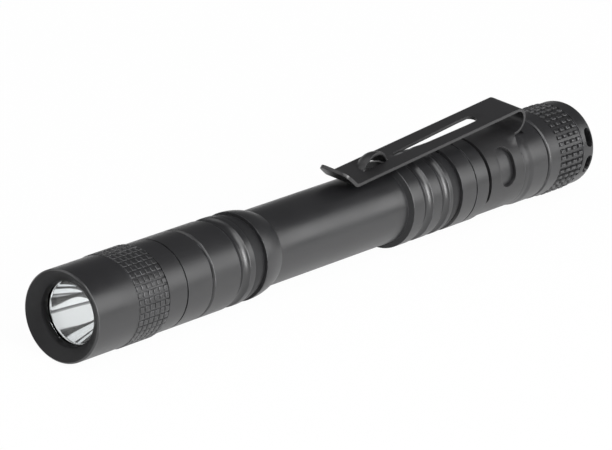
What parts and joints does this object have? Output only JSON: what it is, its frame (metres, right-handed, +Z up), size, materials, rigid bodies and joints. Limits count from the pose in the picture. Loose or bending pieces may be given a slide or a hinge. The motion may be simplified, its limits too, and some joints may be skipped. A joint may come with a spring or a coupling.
{
  "type": "penlight",
  "caption": "Slim black metal penlight for AAA cells with a dished bezel, studded grips, a spring-steel pocket clip and a recessed push button in the tail.",
  "frame": {"origin": "middle of the light's length, on the surface it lies on, straight below its axis", "axes": "+X is the way the beam leaves, +Y is the side that the clip's pressed hood opens to, +Z is up through the pocket clip"},
  "size_m": [0.1334, 0.0152, 0.019],
  "materials": {
    "anodised": "black hard anodised, satin",
    "clip_steel": "black coated spring steel, satin",
    "lens_glass": "clear polished",
    "reflector_mirror": "mirror polished",
    "black_rubber": "matte black rubber",
    "white_plastic": "moulded white",
    "emitter": "yellow phosphor under a clear dome",
    "core_board": "bare metal-core board",
    "brass": "turned brass",
    "board_green": "green solder mask",
    "component_black": "moulded black",
    "spring_plate": "gold plated spring wire",
    "spring_steel": "bright spring wire",
    "cell_wrap": "printed metal can with bare ends",
    "switch_plastic": "moulded black"
  },
  "bodies": {
    "barrel": {"barrel": "anodised", "head_seal": "black_rubber", "tail_seal": "black_rubber", "front_cell": "cell_wrap", "rear_cell": "cell_wrap", "clip_band": "clip_steel"},
    "clip": {"clip_arm": "clip_steel"},
    "light_engine": {"reflector": "reflector_mirror", "led_gasket": "white_plastic", "led_emitter": "emitter", "led_board": "core_board", "pill": "brass", "driver_board": "board_green", "driver_parts": "component_black", "front_contact_spring": "spring_plate"},
    "head": {"head_shell": "anodised", "lens": "lens_glass", "lens_seal": "black_rubber"},
    "switch_module": {"switch_housing": "switch_plastic", "switch_board": "board_green", "tail_contact_spring": "spring_plate", "switch_return_spring": "spring_steel", "switch_boot": "black_rubber"},
    "button": {"switch_plunger": "white_plastic"},
    "tail_cap": {"tail_cap": "anodised", "switch_retaining_ring": "brass"}
  },
  "joints": [
    {"name": "clip_flex", "type": "hinge", "parent": "barrel", "child": "clip", "pos_m": [-0.04942, 0, 0.01658], "axis": [0, -1, 0], "range_deg": [0, 4], "stiffness_Nm_per_rad": 3},
    {"name": "head_advance", "type": "slide", "parent": "barrel", "child": "light_engine", "axis": [1, 0, 0], "range_m": [0, 0.00375]},
    {"name": "head_unscrew", "type": "hinge", "parent": "light_engine", "child": "head", "pos_m": [0.05267, 0, 0.00765], "axis": [1, 0, 0], "range_deg": [0, 1800]},
    {"name": "tail_advance", "type": "slide", "parent": "barrel", "child": "switch_module", "axis": [-1, 0, 0], "range_m": [0, 0.003]},
    {"name": "tailcap_unscrew", "type": "hinge", "parent": "switch_module", "child": "tail_cap", "pos_m": [-0.05983, 0, 0.00765], "axis": [-1, 0, 0], "range_deg": [0, 1440]},
    {"name": "button_press", "type": "slide", "parent": "switch_module", "child": "button", "axis": [1, 0, 0], "range_m": [0, 0.0013], "stiffness_N_per_m": 600, "springref_m": -0.002, "deforming": ["switch_return_spring", "switch_boot"]}
  ],
  "couplings": [
    {"joint": "head_unscrew", "follows": "head_advance", "rad_per_m": 8377.5},
    {"joint": "tailcap_unscrew", "follows": "tail_advance", "rad_per_m": 8377.5}
  ]
}
